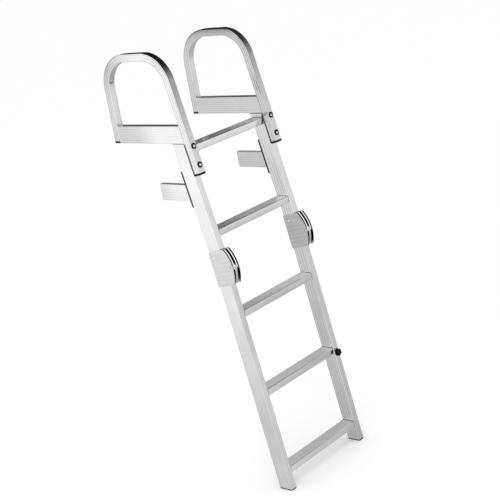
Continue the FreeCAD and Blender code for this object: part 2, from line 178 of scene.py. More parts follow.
def polishedSteel(name, finish):
    # stainless steel, turned and polished: bright, with faint haze from handling
    material, tree, shader = newMaterial(name, Metallic=1.0)
    place = addNode(tree, "ShaderNodeTexCoord")
    haze = addNode(tree, "ShaderNodeTexNoise", {"Vector": place.outputs["Object"],
                                                "Scale": 1 / (finish["haze"] * mm), "Detail": 4.0})
    colour = addNode(tree, "ShaderNodeMix", {"Factor": haze.outputs["Fac"],
                                             "A": linearColour(finish["dark"]),
                                             "B": linearColour(finish["light"])}, data_type="RGBA")
    rough = addNode(tree, "ShaderNodeMapRange", {"Value": haze.outputs["Fac"], "To Min": finish["smooth"],
                                                 "To Max": finish["rough"]})
    tree.links.new(colour.outputs["Result"], shader.inputs["Base Color"])
    tree.links.new(rough.outputs["Result"], shader.inputs["Roughness"])
    return material


# Finishes

railFinish = {"light": "e9e9ea", "dark": "dadadc", "smooth": 0.08, "rough": 0.15, "linePitch": 2.5,
              "cloudSize": 90.0, "bump": 0.15, "bumpDeep": 0.3}
treadFinish = {**railFinish, "light": "f4f4f5", "dark": "e6e6e8", "rough": 0.13, "cloudSize": 70.0,
               "bump": 0.05}
# the cheeks look a little greyer, and the weld beads are a darker grey still
cheekFinish = {**railFinish, "light": "d6d6d8", "dark": "c6c6c8"}
weldFinish = {**railFinish, "light": "a4a4a6", "dark": "707072"}
blackFinish = {"colour": "0c0c0d", "ior": 1.53, "grain": 0.8, "smooth": 0.35, "rough": 0.55, "bump": 0.2,
               "bumpDeep": 0.2}
# foam rubber has hardly any gloss, so its thin edges stay black between bright pieces; the same black
# paints shade and dark reflection on the leg shims, cheek edges and hinge slots
foamAndShadeFinish = {**blackFinish, "colour": "040404", "ior": 1.3, "smooth": 0.5, "rough": 0.7}
rubberFinish = {**blackFinish, "colour": "101011", "ior": 1.52, "grain": 1.2, "smooth": 0.6, "rough": 0.8,
                "bump": 0.3}
# the hinge ears are white to paint the bright highlight lines along their front edges
earHighlightFinish = {**blackFinish, "colour": "f2f2ef", "smooth": 0.3, "rough": 0.45, "bump": 0.1}
steelFinish = {"light": "f6f6f6", "dark": "e0e0e2", "haze": 6.0, "smooth": 0.06, "rough": 0.14}

upperAluminium = extrudedAluminium("extruded anodised aluminium, upper", railFinish, ladder["upperLean"])
lowerAluminium = extrudedAluminium("extruded anodised aluminium, lower", railFinish, ladder["lowerLean"])
barAluminium = extrudedAluminium("extruded anodised aluminium, bars", railFinish, 0.0, "Y")
treadAluminium = extrudedAluminium("extruded anodised aluminium, treads", treadFinish, 0.0, "X")
cheekAluminium = extrudedAluminium("extruded anodised aluminium, cheeks", cheekFinish, 0.0, "Y")
blackPlastic = mouldedPlastic("moulded black ABS", blackFinish)
blackFoamAndPaintedShade = mouldedPlastic("moulded black foam rubber and painted shade", foamAndShadeFinish)
blackRubber = mouldedPlastic("moulded black rubber", rubberFinish)
whiteEarHighlight = mouldedPlastic("white hinge ears, painted highlight", earHighlightFinish)
brightSteel = polishedSteel("polished stainless steel", steelFinish)

sideFinishes = {
    "upper_stile": upperAluminium, "lower_stile": lowerAluminium, "deck_bar": barAluminium,
    "handrail_hoop": upperAluminium, "standoff": barAluminium, "outer_cheek": cheekAluminium,
    "inner_cheek": cheekAluminium, "hinge_tongue": lowerAluminium, "foot": blackFoamAndPaintedShade,
    "stile_cap": blackPlastic, "front_leg_cap": blackPlastic, "rear_leg_cap": blackPlastic,
    "standoff_plate": blackPlastic, "standoff_pad": blackPlastic,
}
nodeFinishes = {
    "right_rubber_knob": blackRubber, "hinge_blocks": blackFoamAndPaintedShade, "hinge_pins": cheekAluminium,
    # the white hinge ears are a painted highlight
    "hinge_ears": whiteEarHighlight, "leg_bolts": brightSteel, "hinge_rivets": brightSteel,
}
for side in ("left", "right"):
    nodeFinishes.update((side + "_" + part, finish) for part, finish in sideFinishes.items())
treadNodes = ["tread_%d" % (step + 1) for step in range(5)]
nodeFinishes.update((node, treadAluminium) for node in treadNodes)

for node, finish in nodeFinishes.items():
    slots = nodes[node].data.materials
    if not slots:
        slots.append(finish)
    for i in range(len(slots)):
        slots[i] = finish
print("finishes on", len(nodeFinishes), "of", len(nodes), "nodes")

# Mesh making


def makePiece(name, points, faces, finish, body, slot, replaced=(), uv=None, smoothBelow=35.0):
    # one mesh piece from points in millimetres, shaded smooth across its gentle edges
    mesh = bpy.data.meshes.new(name)
    mesh.from_pydata([Vector(p) * mm for p in points], [], faces)
    mesh.validate()
    mesh.shade_smooth()
    mesh.set_sharp_from_angle(angle=math.radians(smoothBelow))
    if uv:
        layer = mesh.uv_layers.new(name="alongPiece")
        for loop in mesh.loops:
            layer.data[loop.index].uv = uv[loop.vertex_index]
    mesh.materials.append(finish)
    piece = bpy.data.objects.new(name, mesh)
    bpy.context.scene.collection.objects.link(piece)
    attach(piece, body)
    for node in replaced:
        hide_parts(node)


def nodeBox(node):
    # a node's lowest and highest corner in millimetres
    low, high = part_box(node)
    return low / mm, high / mm


def loft(rings, joined=False):
    # a closed skin over a row of rings with as many points each: its ends are filled, or join each other
    count = len(rings[0])
    points = [p for ring in rings for p in ring]
    faces = []
    for i in range(len(rings) if joined else len(rings) - 1):
        n = (i + 1) % len(rings)
        for j in range(count):
            k = (j + 1) % count
            faces.append((i * count + j, i * count + k, n * count + k, n * count + j))
    if not joined:
        faces.append(tuple(reversed(range(count))))
        faces.append(tuple(range((len(rings) - 1) * count, len(rings) * count)))
    return points, faces


def turn(profile, place, axis, steps):
    # a turned skin from (radius, height) pairs about an axis through a place
    axis = Vector(axis).normalized()
    side = axis.orthogonal().normalized()
    other = axis.cross(side)
    angles = [2 * math.pi * i / steps for i in range(steps)]
    return loft([[Vector(place) + axis * height + (side * math.cos(a) + other * math.sin(a)) * radius
                  for a in angles] for radius, height in profile])


def addSkin(points, faces, more):
    # joins another skin's points and faces to these lists
    newPoints, newFaces = more
    start = len(points)
    points.extend(newPoints)
    faces.extend(tuple(i + start for i in face) for face in newFaces)


def roundedCorner(centre, radius, first, last, steps):
    angles = [math.radians(first + (last - first) * i / steps) for i in range(steps + 1)]
    return [(centre[0] + radius * math.cos(a), centre[1] + radius * math.sin(a)) for a in angles]


def roundedBox(w, d, corner, steps=5):
    # a rectangle's outline with rounded corners, from its half width and half depth
    return (roundedCorner((w - corner, d - corner), corner, 0, 90, steps)
            + roundedCorner((-w + corner, d - corner), corner, 90, 180, steps)
            + roundedCorner((-w + corner, -d + corner), corner, 180, 270, steps)
            + roundedCorner((w - corner, -d + corner), corner, 270, 360, steps))


def groovedRun(start, end, inward, places, width, deep):
    # points along one side of a profile, with square-bottomed grooves centred at places along it
    start = Vector(start)
    along = (Vector(end) - start).normalized()
    inward = Vector(inward)
    run = []
    for place in places:
        near = start + along * (place - width / 2)
        far = start + along * (place + width / 2)
        bevel = along * min(deep, width) * 0.25
        run += [near, near + inward * deep + bevel, far + inward * deep - bevel, far]
    return [tuple(p) for p in run]


# Handrail hoops: one ribbed tube each, bent at the top

hoop = {
    "width": 26.0, "tube": 25.0, "corner": 1.4, "bend": 100.0, "height": 290.0,
    "shim": 1.5, "below": 103.0, "rearLeg": 141.0, "rearEnd": 4.0, "bendSteps": 30,
    "sideGrooves": 3, "sideGrooveWidth": 1.9, "sideGrooveDeep": 1.6,
    "faceGrooves": 2, "faceGrooveWidth": 0.9, "faceGrooveDeep": 0.2,
}


def evenPlaces(length, count):
    return [length * (i + 0.5) / count for i in range(count)]


def tubeProfile(sizes, depth):
    # a rounded rectangle about its middle, grooved along its sides and faces
    w, d = sizes["width"] / 2, depth / 2
    corner = sizes["corner"]
    side = evenPlaces(depth, sizes["sideGrooves"]), sizes["sideGrooveWidth"], sizes["sideGrooveDeep"]
    face = evenPlaces(2 * w, sizes["faceGrooves"]), sizes["faceGrooveWidth"], sizes["faceGrooveDeep"]
    profile = groovedRun((w, -d), (w, d), (-1, 0), *side)
    profile += roundedCorner((w - corner, d - corner), corner, 0, 90, 4)
    profile += groovedRun((w, d), (-w, d), (0, -1), *face)
    profile += roundedCorner((-w + corner, d - corner), corner, 90, 180, 4)
    profile += groovedRun((-w, d), (-w, -d), (1, 0), *side)
    profile += roundedCorner((-w + corner, -d + corner), corner, 180, 270, 4)
    profile += groovedRun((-w, -d), (w, -d), (0, 1), *face)
    profile += roundedCorner((w - corner, -d + corner), corner, 270, 360, 4)
    return profile


hoopProfile = tubeProfile(hoop, hoop["tube"])


def hoopPath(x):
    # stations up the front leg, over the top and down the rear leg: a place and the way out of the hoop
    half = hoop["tube"] / 2
    lean = math.radians(ladder["upperLean"])
    low = onUpper(x, -hoop["shim"] - half, -hoop["below"])
    level = hoop["height"] - half - hoop["bend"]
    rise = (level - low.z) / math.cos(lean) + hoop["bend"] * math.tan(lean)
    frontMiddle = low + upperUp * rise + upperRear * hoop["bend"]
    rearMiddle = Vector((x, hoop["rearLeg"] + half - hoop["bend"], level))
    stations = [(low, -upperRear)]
    steps = hoop["bendSteps"]
    for i in range(steps + 1):
        angle = (math.pi / 2 - lean) * (1 - i / steps)
        out = Vector((0, -math.sin(angle), math.cos(angle)))
        stations.append((frontMiddle + out * hoop["bend"], out))
    for i in range(steps + 1):
        angle = math.pi / 2 * i / steps
        out = Vector((0, math.sin(angle), math.cos(angle)))
        stations.append((rearMiddle + out * hoop["bend"], out))
    stations.append((Vector((x, hoop["rearLeg"] + half, hoop["rearEnd"])), Vector((0, 1, 0))))
    return stations


hoopAluminium = extrudedAluminium("extruded and bent anodised aluminium", railFinish, 0.0, "UV")
for side in ("left", "right"):
    rings = []
    uv = []
    travelled = 0.0
    last = None
    for place, out in hoopPath(ladder[side + "X"]):
        travelled += (place - last).length if last else 0.0
        last = place
        rings.append([place + Vector((a, 0, 0)) + out * b for a, b in hoopProfile])
        around = 0.0
        for i, point in enumerate(hoopProfile):
            around += (Vector(point) - Vector(hoopProfile[i - 1])).length if i else 0.0
            uv.append((around * mm, travelled * mm))
    points, faces = loft(rings)
    makePiece(side + "RibbedHoop", points, faces, hoopAluminium, "upper_section", "anodised_aluminium",
              [side + "_handrail_hoop"], uv)
print("handrail hoops made")

# Deck bars and standoffs: ribbed tubes that run level, cut to the lean of what they meet

bar = {"corner": 1.0, "width": 26.0, "height": 57.0, "rear": 141.0,
       "sideGrooves": 8, "sideGrooveWidth": 1.4, "sideGrooveDeep": 0.9,
       "faceGrooves": 2, "faceGrooveWidth": 0.9, "faceGrooveDeep": 0.15}
standoff = {"corner": 1.0, "width": 18.0, "height": 54.0, "middle": -162.0, "plate": 5.0, "rim": 0.4,
            "sideGrooves": 7, "sideGrooveWidth": 1.4, "sideGrooveDeep": 0.9,
            "faceGrooves": 2, "faceGrooveWidth": 0.9, "faceGrooveDeep": 0.2}
# the black plug in the standoff's end, which stands a little out of it
plug = {"inside": 1.3, "corner": 2.0, "long": 4.0, "bevel": 0.2, "bevelScale": 0.96}


def levelBar(sizes, x, middleZ, rear, behind):
    # a level tube from its rear end to a plane that leans with the stile, so far behind its front face
    front = []
    back = []
    for a, b in tubeProfile(sizes, sizes["height"]):
        z = middleZ + b
        up = z / upperUp.z
        front.append(onUpper(x + a, behind, 0) + upperUp * (up - upperRear.z * behind / upperUp.z))
        back.append(Vector((x + a, rear, z)))
    return loft([front, back])


for side in ("left", "right"):
    x = ladder[side + "X"]
    makePiece(side + "RibbedDeckBar", *levelBar(bar, x, bar["height"] / 2, bar["rear"], -hoop["shim"]),
              barAluminium, "upper_section", "anodised_aluminium", [side + "_deck_bar"])
    plateAt = ladder["stileDepth"] + standoff["plate"]
    makePiece(side + "RibbedStandoff",
              *levelBar(standoff, x, standoff["middle"], -standoff["rim"], plateAt),
              barAluminium, "upper_section", "anodised_aluminium", [side + "_standoff"])
    outline = roundedBox(standoff["width"] / 2 - plug["inside"], standoff["height"] / 2 - plug["inside"],
                         plug["corner"])
    rings = [[Vector((x + a * grow, y, standoff["middle"] + b * grow)) for a, b in outline]
             for y, grow in ((-plug["long"], 1.0), (-plug["bevel"], 1.0), (0.0, plug["bevelScale"]))]
    makePiece(side + "StandoffPlug", *loft(rings), blackPlastic, "upper_section", "black_plastic",
              [side + "_standoff_pad"])
print("deck bars and standoffs made")

# Black rubber shim between each front leg and its stile, whose lip at both sides paints the shadow line
# in the gap there, and the caps of both legs

# the shim reaches past the tube's sides, where it bulges round them in a lip: painted shadow along the
# gap
shim = {"half": 13.3, "thick": 1.5, "bulge": 2.4, "lip": 0.6, "lipBevel": 0.5, "root": 1.5, "top": 3.0,
        "overlap": 1.0}
# a collar's height above the leg's end, and how far it stands out of the tube there; in front and
# behind, the front leg's stands proud as well, and the rear leg's stays flush with the tube
collar = {"rise": [(0.0, -0.4), (0.5, 0.6), (6.6, 0.6), (7.0, 0.1)], "corner": 2.6, "base": 4.0,
          "frontLegProud": 0.6, "rearLegProud": 0.0}


def legCollar(place, along, out, proud):
    # a cap from its flat end up over the tube, from the middle of that end and the ways along and out
    rings = []
    for up, grow in collar["rise"]:
        w, d = hoop["width"] / 2 + grow, hoop["tube"] / 2 + min(grow, proud)
        rings.append([place + along * up + Vector((a, 0, 0)) + out * b
                      for a, b in roundedBox(w, d, collar["corner"])])
    return loft(rings)


half, thick, bulge = shim["half"], shim["thick"] / 2, shim["bulge"]
lipIn, lipDown, rootIn = half - shim["lip"], bulge - shim["lipBevel"], half - shim["root"]
shimSection = [(half, -bulge), (half, bulge), (lipIn, lipDown), (rootIn, thick),
               (-rootIn, thick), (-lipIn, lipDown), (-half, bulge), (-half, -bulge),
               (-lipIn, -lipDown), (-rootIn, -thick), (rootIn, -thick), (lipIn, -lipDown)]
legEnd = -hoop["below"] - collar["base"]
for side in ("left", "right"):
    x = ladder[side + "X"]
    points, faces = loft([[onUpper(x + a, b - thick, up) for a, b in shimSection]
                          for up in (legEnd + shim["overlap"], -shim["top"])])
    end = onUpper(x, -hoop["shim"] - hoop["tube"] / 2, legEnd)
    addSkin(points, faces, legCollar(end, upperUp, -upperRear, collar["frontLegProud"]))
    makePiece(side + "ShimWithShadowLip", points, faces, blackFoamAndPaintedShade, "upper_section", "black_plastic",
              [side + "_front_leg_cap"])
    end = Vector((x, hoop["rearLeg"] + hoop["tube"] / 2, 0))
    cap = legCollar(end, Vector((0, 0, 1)), Vector((0, 1, 0)), collar["rearLegProud"])
    makePiece(side + "RearLegCollar", *cap, blackRubber, "upper_section", "black_plastic",
              [side + "_rear_leg_cap"])
print("leg rubbers made")

# Treads: flat ribs on top, a rounded nose in front

tread = {"depth": 48.0, "height": 23.0, "nose": 2.0, "heel": 2.0, "frontFlat": 5.6, "rearFlat": 5.6,
         "grooves": 9, "grooveWidth": 1.1, "grooveDeep": 0.6,
         "edgeGroove": {"in": 3.8, "width": 1.9, "deep": 2.2}}


def treadProfile():
    # (depth from the front, height from the top), clockwise from the nose
    d, h = tread["depth"], tread["height"]
    nose, heel = tread["nose"], tread["heel"]
    profile = roundedCorner((nose, -nose), nose, 180, 90, 6)
    room = d - tread["frontFlat"] - tread["rearFlat"]
    places = [tread["frontFlat"] + room * (i + 0.5) / tread["grooves"] for i in range(tread["grooves"])]
    edge = tread["edgeGroove"]
    profile += groovedRun((0, 0), (d, 0), (0, -1), [edge["in"]], edge["width"], edge["deep"])
    profile += groovedRun((0, 0), (d, 0), (0, -1), places, tread["grooveWidth"], tread["grooveDeep"])
    profile += groovedRun((0, 0), (d, 0), (0, -1), [d - edge["in"]], edge["width"], edge["deep"])
    profile += roundedCorner((d - heel, -heel), heel, 90, 0, 5)
    profile += roundedCorner((d - heel, -h + heel), heel, 0, -90, 5)
    profile += roundedCorner((nose, -h + nose), nose, -90, -180, 5)
    return profile


ribbedProfile = treadProfile()
treadBodies = ["upper_section"] * 2 + ["lower_section"] * 3
for step, node in enumerate(treadNodes):
    low, high = nodeBox(node)
    rings = [[Vector((x, low.y + y, high.z + z)) for y, z in ribbedProfile] for x in (low.x, high.x)]
    makePiece("ribbedTread%d" % (step + 1), *loft(rings), treadAluminium, treadBodies[step],
              "tread_aluminium", [node])
print("treads made")

# Hinge cheeks: bowed plates with level ribs across their outer faces, and black strips on their front
# edges that paint dark reflection

cheek = {"half": 59.0, "ahead": 33.5, "endAhead": 16.0, "behindTop": 1.0, "behindFoot": 6.0,
         "frontRound": 7.0, "rearRound": 4.0, "roundSteps": 14, "thick": 2.8, "plainEnd": 4.0,
         "groovePitch": 14.0, "grooveWidth": 6.5, "grooveDeep": 0.4, "grooveEdge": 0.49, "edge": 0.6}
# the black strip on each cheek's front edge is painted dark reflection; it stands a little ahead of that
# edge and runs in behind it
darkEdgeStrip = {"ahead": 0.12, "in": 0.6, "below": 0.8}


def cheekEdges(level):
    # how far behind the stile's front face the plate starts and ends at a level above the pivot
    half, ahead = cheek["half"], cheek["ahead"]
    rise = ahead - cheek["endAhead"]
    radius = (half ** 2 + rise ** 2) / (2 * rise)
    middle = radius - ahead
    turnLevel = half - cheek["frontRound"]
    turnMiddle = middle - math.sqrt((radius - cheek["frontRound"]) ** 2 - turnLevel ** 2)
    reach = abs(level)
    if reach > turnLevel * radius / (radius - cheek["frontRound"]):
        front = turnMiddle - math.sqrt(max(cheek["frontRound"] ** 2 - (reach - turnLevel) ** 2, 0.0))
    else:
        front = middle - math.sqrt(radius ** 2 - level ** 2)
    share = (half - level) / (2 * half)
    behind = cheek["behindTop"] + (cheek["behindFoot"] - cheek["behindTop"]) * share
    rear = ladder["stileDepth"] + behind
    if reach > half - cheek["rearRound"]:
        over = reach - half + cheek["rearRound"]
        rear -= cheek["rearRound"] - math.sqrt(max(cheek["rearRound"] ** 2 - over ** 2, 0.0))
    return front, rear


def cheekLevels():
    # levels up the plate: close together at both ends, and four across each groove
    half, steps = cheek["half"], cheek["roundSteps"]
    levels = {-half, half}
    for i in range(1, steps + 1):
        bend = cheek["frontRound"] * (1 - math.cos(math.pi / 2 * i / steps))
        levels.update((-half + bend, half - bend))
    count = int(2 * (half - cheek["plainEnd"]) / cheek["groovePitch"])
    for i in range(count):
        middle = (i - (count - 1) / 2) * cheek["groovePitch"]
        for offset in (-0.5, -0.25, 0.25, 0.5):
            levels.add(middle + offset * cheek["grooveWidth"])
    return sorted(levels), count


def cheekDepth(level, count):
    # how deep the face lies in a groove between ribs; a groove's edges, half its width off, are level
    place = level / cheek["groovePitch"] + (count - 1) / 2
    off = abs(place - round(place)) * cheek["groovePitch"]
    halfGroove = cheek["grooveEdge"] * cheek["grooveWidth"]
    if round(place) < 0 or round(place) > count - 1 or off > halfGroove:
        return 0.0
    return cheek["grooveDeep"]


def plateRing(corners, level, way):
    # one level's corners (across, behind), which run the same way round on every plate
    if way < 0:
        corners = corners[::-1]
    return [onUpper(across, behind, level - ladder["pivotDown"]) for across, behind in corners]


cheekRows, grooveCount = cheekLevels()
for side in ("left", "right"):
    x = ladder[side + "X"]
    outward = -1 if side == "left" else 1
    for name, way in (("outer", outward), ("inner", -outward)):
        inner = x + way * ladder["stileWidth"] / 2
        rings = []
        strip = []
        for level in cheekRows:
            front, rear = cheekEdges(level)
            outer = inner + way * (cheek["thick"] - cheekDepth(level, grooveCount))
            e = cheek["edge"]
            bevelled = outer - way * e
            rings.append(plateRing([(inner, front), (bevelled, front), (outer, front + e),
                                    (outer, rear - e), (bevelled, rear), (inner, rear)], level, way))
            # a black strip over the cheek's front edge, painted dark reflection
            ahead, behind = front - darkEdgeStrip["ahead"], front + darkEdgeStrip["in"]
            under = outer - way * darkEdgeStrip["below"]
            strip.append(plateRing([(inner, ahead), (under, ahead), (under, behind), (inner, behind)],
                                   level, way))
        title = side + name.capitalize()
        makePiece(title + "RibbedCheek", *loft(rings), cheekAluminium, "upper_section",
                  "anodised_aluminium", ["%s_%s_cheek" % (side, name)])
        makePiece(title + "CheekDarkEdge", *loft(strip), blackFoamAndPaintedShade, "upper_section", "black_plastic")
print("hinge cheeks made")

# Black sheets in each hinge's slot, on the faces of the white plates that the tongue runs between:
# painted shade in the slot

shadeSheet = {"reach": 4.9, "thick": 0.2, "slack": 0.05, "facing": 0.9}


def sheetOn(node, plane, way, thick):
    # a thin closed sheet over a node's flat faces in one plane across X, on the side they face
    source = nodes[node]
    place = source.matrix_world
    flat = [face for face in source.data.polygons
            if abs((place @ face.center).x / mm - plane) < shadeSheet["slack"]
            and face.normal.x * way > shadeSheet["facing"]]
    order = {}
    for face in flat:
        for corner in face.vertices:
            order.setdefault(corner, len(order))
    base = [place @ source.data.vertices[corner].co / mm for corner in order]
    lift = Vector((way * thick, 0, 0))
    points = [p + lift for p in base] + [p - lift for p in base]
    count = len(order)
    faces = []
    edges = set()
    for face in flat:
        ring = [order[corner] for corner in face.vertices]
        faces.append(tuple(ring))
        faces.append(tuple(i + count for i in reversed(ring)))
        edges.update(zip(ring, ring[1:] + ring[:1]))
    for i, j in edges:
        if (j, i) not in edges:
            faces.append((i, i + count, j + count, j))
    return points, faces


for side in ("left", "right"):
    shadeSheets = ([], [])
    for way in (-1, 1):
        plane = ladder[side + "X"] + way * shadeSheet["reach"]
        addSkin(*shadeSheets, sheetOn("hinge_ears", plane, -way, shadeSheet["thick"]))
    # the black sheets paint the shade inside the slot
    makePiece(side + "SlotShadeSheets", *shadeSheets, blackFoamAndPaintedShade, "upper_section", "black_plastic")
    print(side, "slot liners:", len(shadeSheets[1]), "faces")

# Bolts through each front leg: domed heads with a round socket, on black washers

bolt = {"downs": (14.0, 75.0), "headRadius": 5.2, "headHeight": 2.9, "domeFrom": 12, "domeTo": 72,
        "domeSteps": 8, "socketRadius": 1.8, "socketFoot": 0.97, "socketDeep": 2.0, "shank": 4.0,
        "shankLength": 34.0, "sides": 36}
washer = {"radius": 10.0, "thick": 1.8, "hole": 4.2, "bevelIn": 0.5, "bevelDown": 0.4, "sides": 40}

thick, radius = washer["thick"], washer["radius"]
washerSection = [(washer["hole"], 0), (radius, 0), (radius, thick - washer["bevelDown"]),
                 (radius - washer["bevelIn"], thick), (washer["hole"], thick)]
headSection = [(bolt["shank"], -bolt["shankLength"]), (bolt["shank"], thick), (bolt["headRadius"], thick)]
first, last = math.radians(bolt["domeFrom"]), math.radians(bolt["domeTo"])
for i in range(bolt["domeSteps"] + 1):
    angle = first + (last - first) * i / bolt["domeSteps"]
    headSection.append((bolt["headRadius"] * math.cos(angle) / math.cos(first),
                        thick + bolt["headHeight"] * math.sin(angle) / math.sin(last)))
top = headSection[-1][1]
headSection += [(bolt["socketRadius"], top),
                (bolt["socketRadius"] * bolt["socketFoot"], top - bolt["socketDeep"])]
heads = ([], [])
washers = ([], [])
for side in ("left", "right"):
    for down in bolt["downs"]:
        seat = onUpper(ladder[side + "X"], -hoop["shim"] - hoop["tube"], -down)
        addSkin(*washers, turn(washerSection, seat, -upperRear, washer["sides"]))
        addSkin(*heads, turn(headSection, seat, -upperRear, bolt["sides"]))
makePiece("domedBolts", *heads, brightSteel, "upper_section", "polished_steel", ["leg_bolts"])
makePiece("boltWashers", *washers, blackFoamAndPaintedShade, "upper_section", "black_plastic", ["leg_bolts"])
print("bolts made")

# The knob on the right lower stile: a star of six lobes with a crowned face

# its profile gives shares of its depth and of its radius there; it sits a little off the plain knob
knob = {"lobes": 6, "radius": 12.2, "lobe": 1.3, "deep": 12.0, "sides": 72, "right": 0.6, "down": 2.0,
        "ahead": 1.0,
        "profile": [(0.0, 0.8), (0.12, 1.0), (0.7, 1.0), (0.88, 0.93), (0.97, 0.8), (1.0, 0.55)]}

low, high = nodeBox("right_rubber_knob")
middle = (low + high) / 2
root = Vector((middle.x + knob["right"], high.y, middle.z - knob["down"])) - lowerRear * knob["ahead"]
rings = []
for share, grow in knob["profile"]:
    ring = []
    for i in range(knob["sides"]):
        angle = 2 * math.pi * i / knob["sides"]
        radius = (knob["radius"] + knob["lobe"] * math.cos(knob["lobes"] * angle)) * grow
        ring.append(root - lowerRear * knob["deep"] * share + Vector((radius * math.sin(angle), 0, 0))
                    + lowerUp * radius * math.cos(angle))
    rings.append(ring)
makePiece("starKnob", *loft(rings), blackFoamAndPaintedShade, "lower_section", "black_rubber", ["right_rubber_knob"])
print("knob made")

# Weld beads round the ends of the treads

# away, shoulderAway and shoulderOut are shares of the bead's size; rootIn is how deep it reaches in
weld = {"size": 2.6, "ripple": 0.45, "ripplePitch": 2.4, "away": 0.75, "shoulderAway": 0.45,
        "shoulderOut": 0.5, "rootIn": 0.8, "pointPitch": 0.8}


def weldBead(outline, wall, away):
    # a rippled bead along an outline on a wall, laid down in overlapping drops
    rings = []
    travelled = 0.0
    for i, (y, z) in enumerate(outline):
        before, after = Vector(outline[i - 1]), Vector(outline[(i + 1) % len(outline)])
        travelled += (Vector((y, z)) - before).length if i else 0.0
        along = (after - before).normalized()
        out = Vector((along.y, -along.x))
        size = weld["size"] + weld["ripple"] * math.cos(2 * math.pi * travelled / weld["ripplePitch"])
        place = Vector((wall, y, z))
        outDirection = Vector((0, out.x, out.y))
        shoulder = Vector((away * size * weld["shoulderAway"], 0, 0))
        rings.append([place + Vector((away * size * weld["away"], 0, 0)),
                      place + shoulder + outDirection * size * weld["shoulderOut"],
                      place + outDirection * size,
                      place - outDirection * weld["rootIn"]])
    return loft(rings, joined=True)


def fineOutline(profile, pitch):
    # the same closed outline with points no further apart than a pitch
    fine = []
    for i, point in enumerate(profile):
        start, end = Vector(point), Vector(profile[(i + 1) % len(profile)])
        count = max(1, math.ceil((end - start).length / pitch))
        fine += [tuple(start + (end - start) * k / count) for k in range(count)]
    return fine


noseAt, heelAt = tread["nose"], tread["depth"] - tread["heel"]
footAt = -tread["height"]
plainTread = (roundedCorner((noseAt, -noseAt), tread["nose"], 180, 90, 5)
              + roundedCorner((heelAt, -tread["heel"]), tread["heel"], 90, 0, 5)
              + roundedCorner((heelAt, footAt + tread["heel"]), tread["heel"], 0, -90, 5)
              + roundedCorner((noseAt, footAt + noseAt), tread["nose"], -90, -180, 5))
weldAluminium = extrudedAluminium("welded aluminium", weldFinish)
for step, node in enumerate(treadNodes):
    low, high = nodeBox(node)
    outline = fineOutline([(low.y + y, high.z + z) for y, z in plainTread], weld["pointPitch"])
    beads = ([], [])
    for wall, away in ((low.x, 1), (high.x, -1)):
        addSkin(*beads, weldBead(outline, wall, away))
    makePiece("treadWelds%d" % (step + 1), *beads, weldAluminium, treadBodies[step],
              "anodised_aluminium", smoothBelow=60.0)
print("welds made")

# Studio

studio = {
    "floorColour": "fbfbfb",
    "floorSize": 60.0,
    "middle": (0.19, -0.15),
    "bowlRadius": 2.4,
    "bowlSides": 180,
    "bowlRings": 12,
    "lift": 0.0005,           # how far the bowl lies above the floor, and half as far as the side card
    "wallFoot": -0.9,         # the wall's rows: even steps up from its foot, then ever wider ones
    "wallStep": 0.04,
    "wallSteps": 40,
    "upperFoot": 0.75,
    "upperGrowth": 1.2,
    "upperSteps": 12,
    "wallPass": 0.7,          # how soon its front and back shades pass into each other at its sides
    # how bright the card is at each height above deck level, behind the ladder and in front of it
    "backLevels": [(-1.17, 0.42), (-0.2, 0.44), (0.03, 0.46), (0.1, 0.52), (0.17, 0.58), (0.22, 0.66),
                   (0.27, 0.7), (0.32, 0.5), (0.37, 0.34), (0.4, 0.2), (0.44, 0.03), (0.48, 0.003),
                   (6.0, 0.003), (6.6, 0.05)],
    "frontLevels": [(-1.17, 0.58), (-0.85, 0.72), (-0.5, 0.84), (-0.3, 0.88), (0.0, 0.91), (0.11, 0.83),
                    (0.27, 0.75), (0.35, 0.67), (0.42, 0.6), (0.5, 0.46), (0.75, 0.34), (1.2, 0.27),
                    (1.8, 0.14), (2.5, 0.02), (4.4, 0.003), (6.6, 0.05)],
    # a nearer card on the left, lighter where the left side mirrors it than where the right one does
    "sideX": -0.3,
    "sideStart": -0.7,
    "sideLength": 1.8,
    "sideTop": 0.6,
    "sideSteps": (60, 40),
    "sideSplit": (0.34, 0.167),
    "sideEdge": 0.04,
    "sideLeft": [(-1.17, 0.68), (-1.1, 0.75), (-0.95, 0.84), (-0.79, 0.94), (-0.64, 1.03), (-0.45, 1.11),
                 (-0.3, 1.18), (0.0, 1.22), (0.7, 1.17)],
    "sideRight": [(-1.17, 0.54), (-0.9, 0.63), (-0.6, 0.7), (-0.4, 0.72), (-0.25, 0.8), (-0.1, 0.85),
                  (0.0, 0.89), (0.7, 0.89)],
    # its dark upper corner towards the back, by height and by place
    "cornerRise": [(0.13, 0.0), (0.16, 0.2), (0.19, 0.95), (0.7, 1.0)],
    "cornerAhead": [(0.44, 0.0), (0.52, 1.0)],
    "underLevel": 0.52,       # the card under the ladder, and how it brightens outwards and to the left
    "underOut": 0.1,
    "underLeft": 0.5,
    "underBack": 0.75,
    "underRange": (-0.3, 0.6),
    "worldLevel": 1.03,
}

floorLevel = cadBox[0][2]
half = studio["floorSize"] / 2
floorMesh = bpy.data.meshes.new("studioFloor")
floorMesh.from_pydata([(-half, -half, floorLevel), (half, -half, floorLevel), (half, half, floorLevel),
                       (-half, half, floorLevel)], [], [(0, 1, 2, 3)])
floor = bpy.data.objects.new("studioFloor", floorMesh)
bpy.context.scene.collection.objects.link(floor)
# matt paint without any gloss, so the floor shows no mark of the lamp
floorPaint = newMaterial("matt painted floor", Roughness=0.9, **{
    "Base Color": linearColour(studio["floorColour"]), "Specular IOR Level": 0.0})[0]
floorMesh.materials.append(floorPaint)
floor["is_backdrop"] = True


def between(table, value):
    # a value read off a table of steps, joined by straight lines
    for (a, low), (b, high) in zip(table[:-1], table[1:]):
        if value <= b:
            return low + (high - low) * min(max((value - a) / (b - a), 0.0), 1.0)
    return table[-1][1]


def blend(first, second, share):
    return (1 - share) * first + share * second


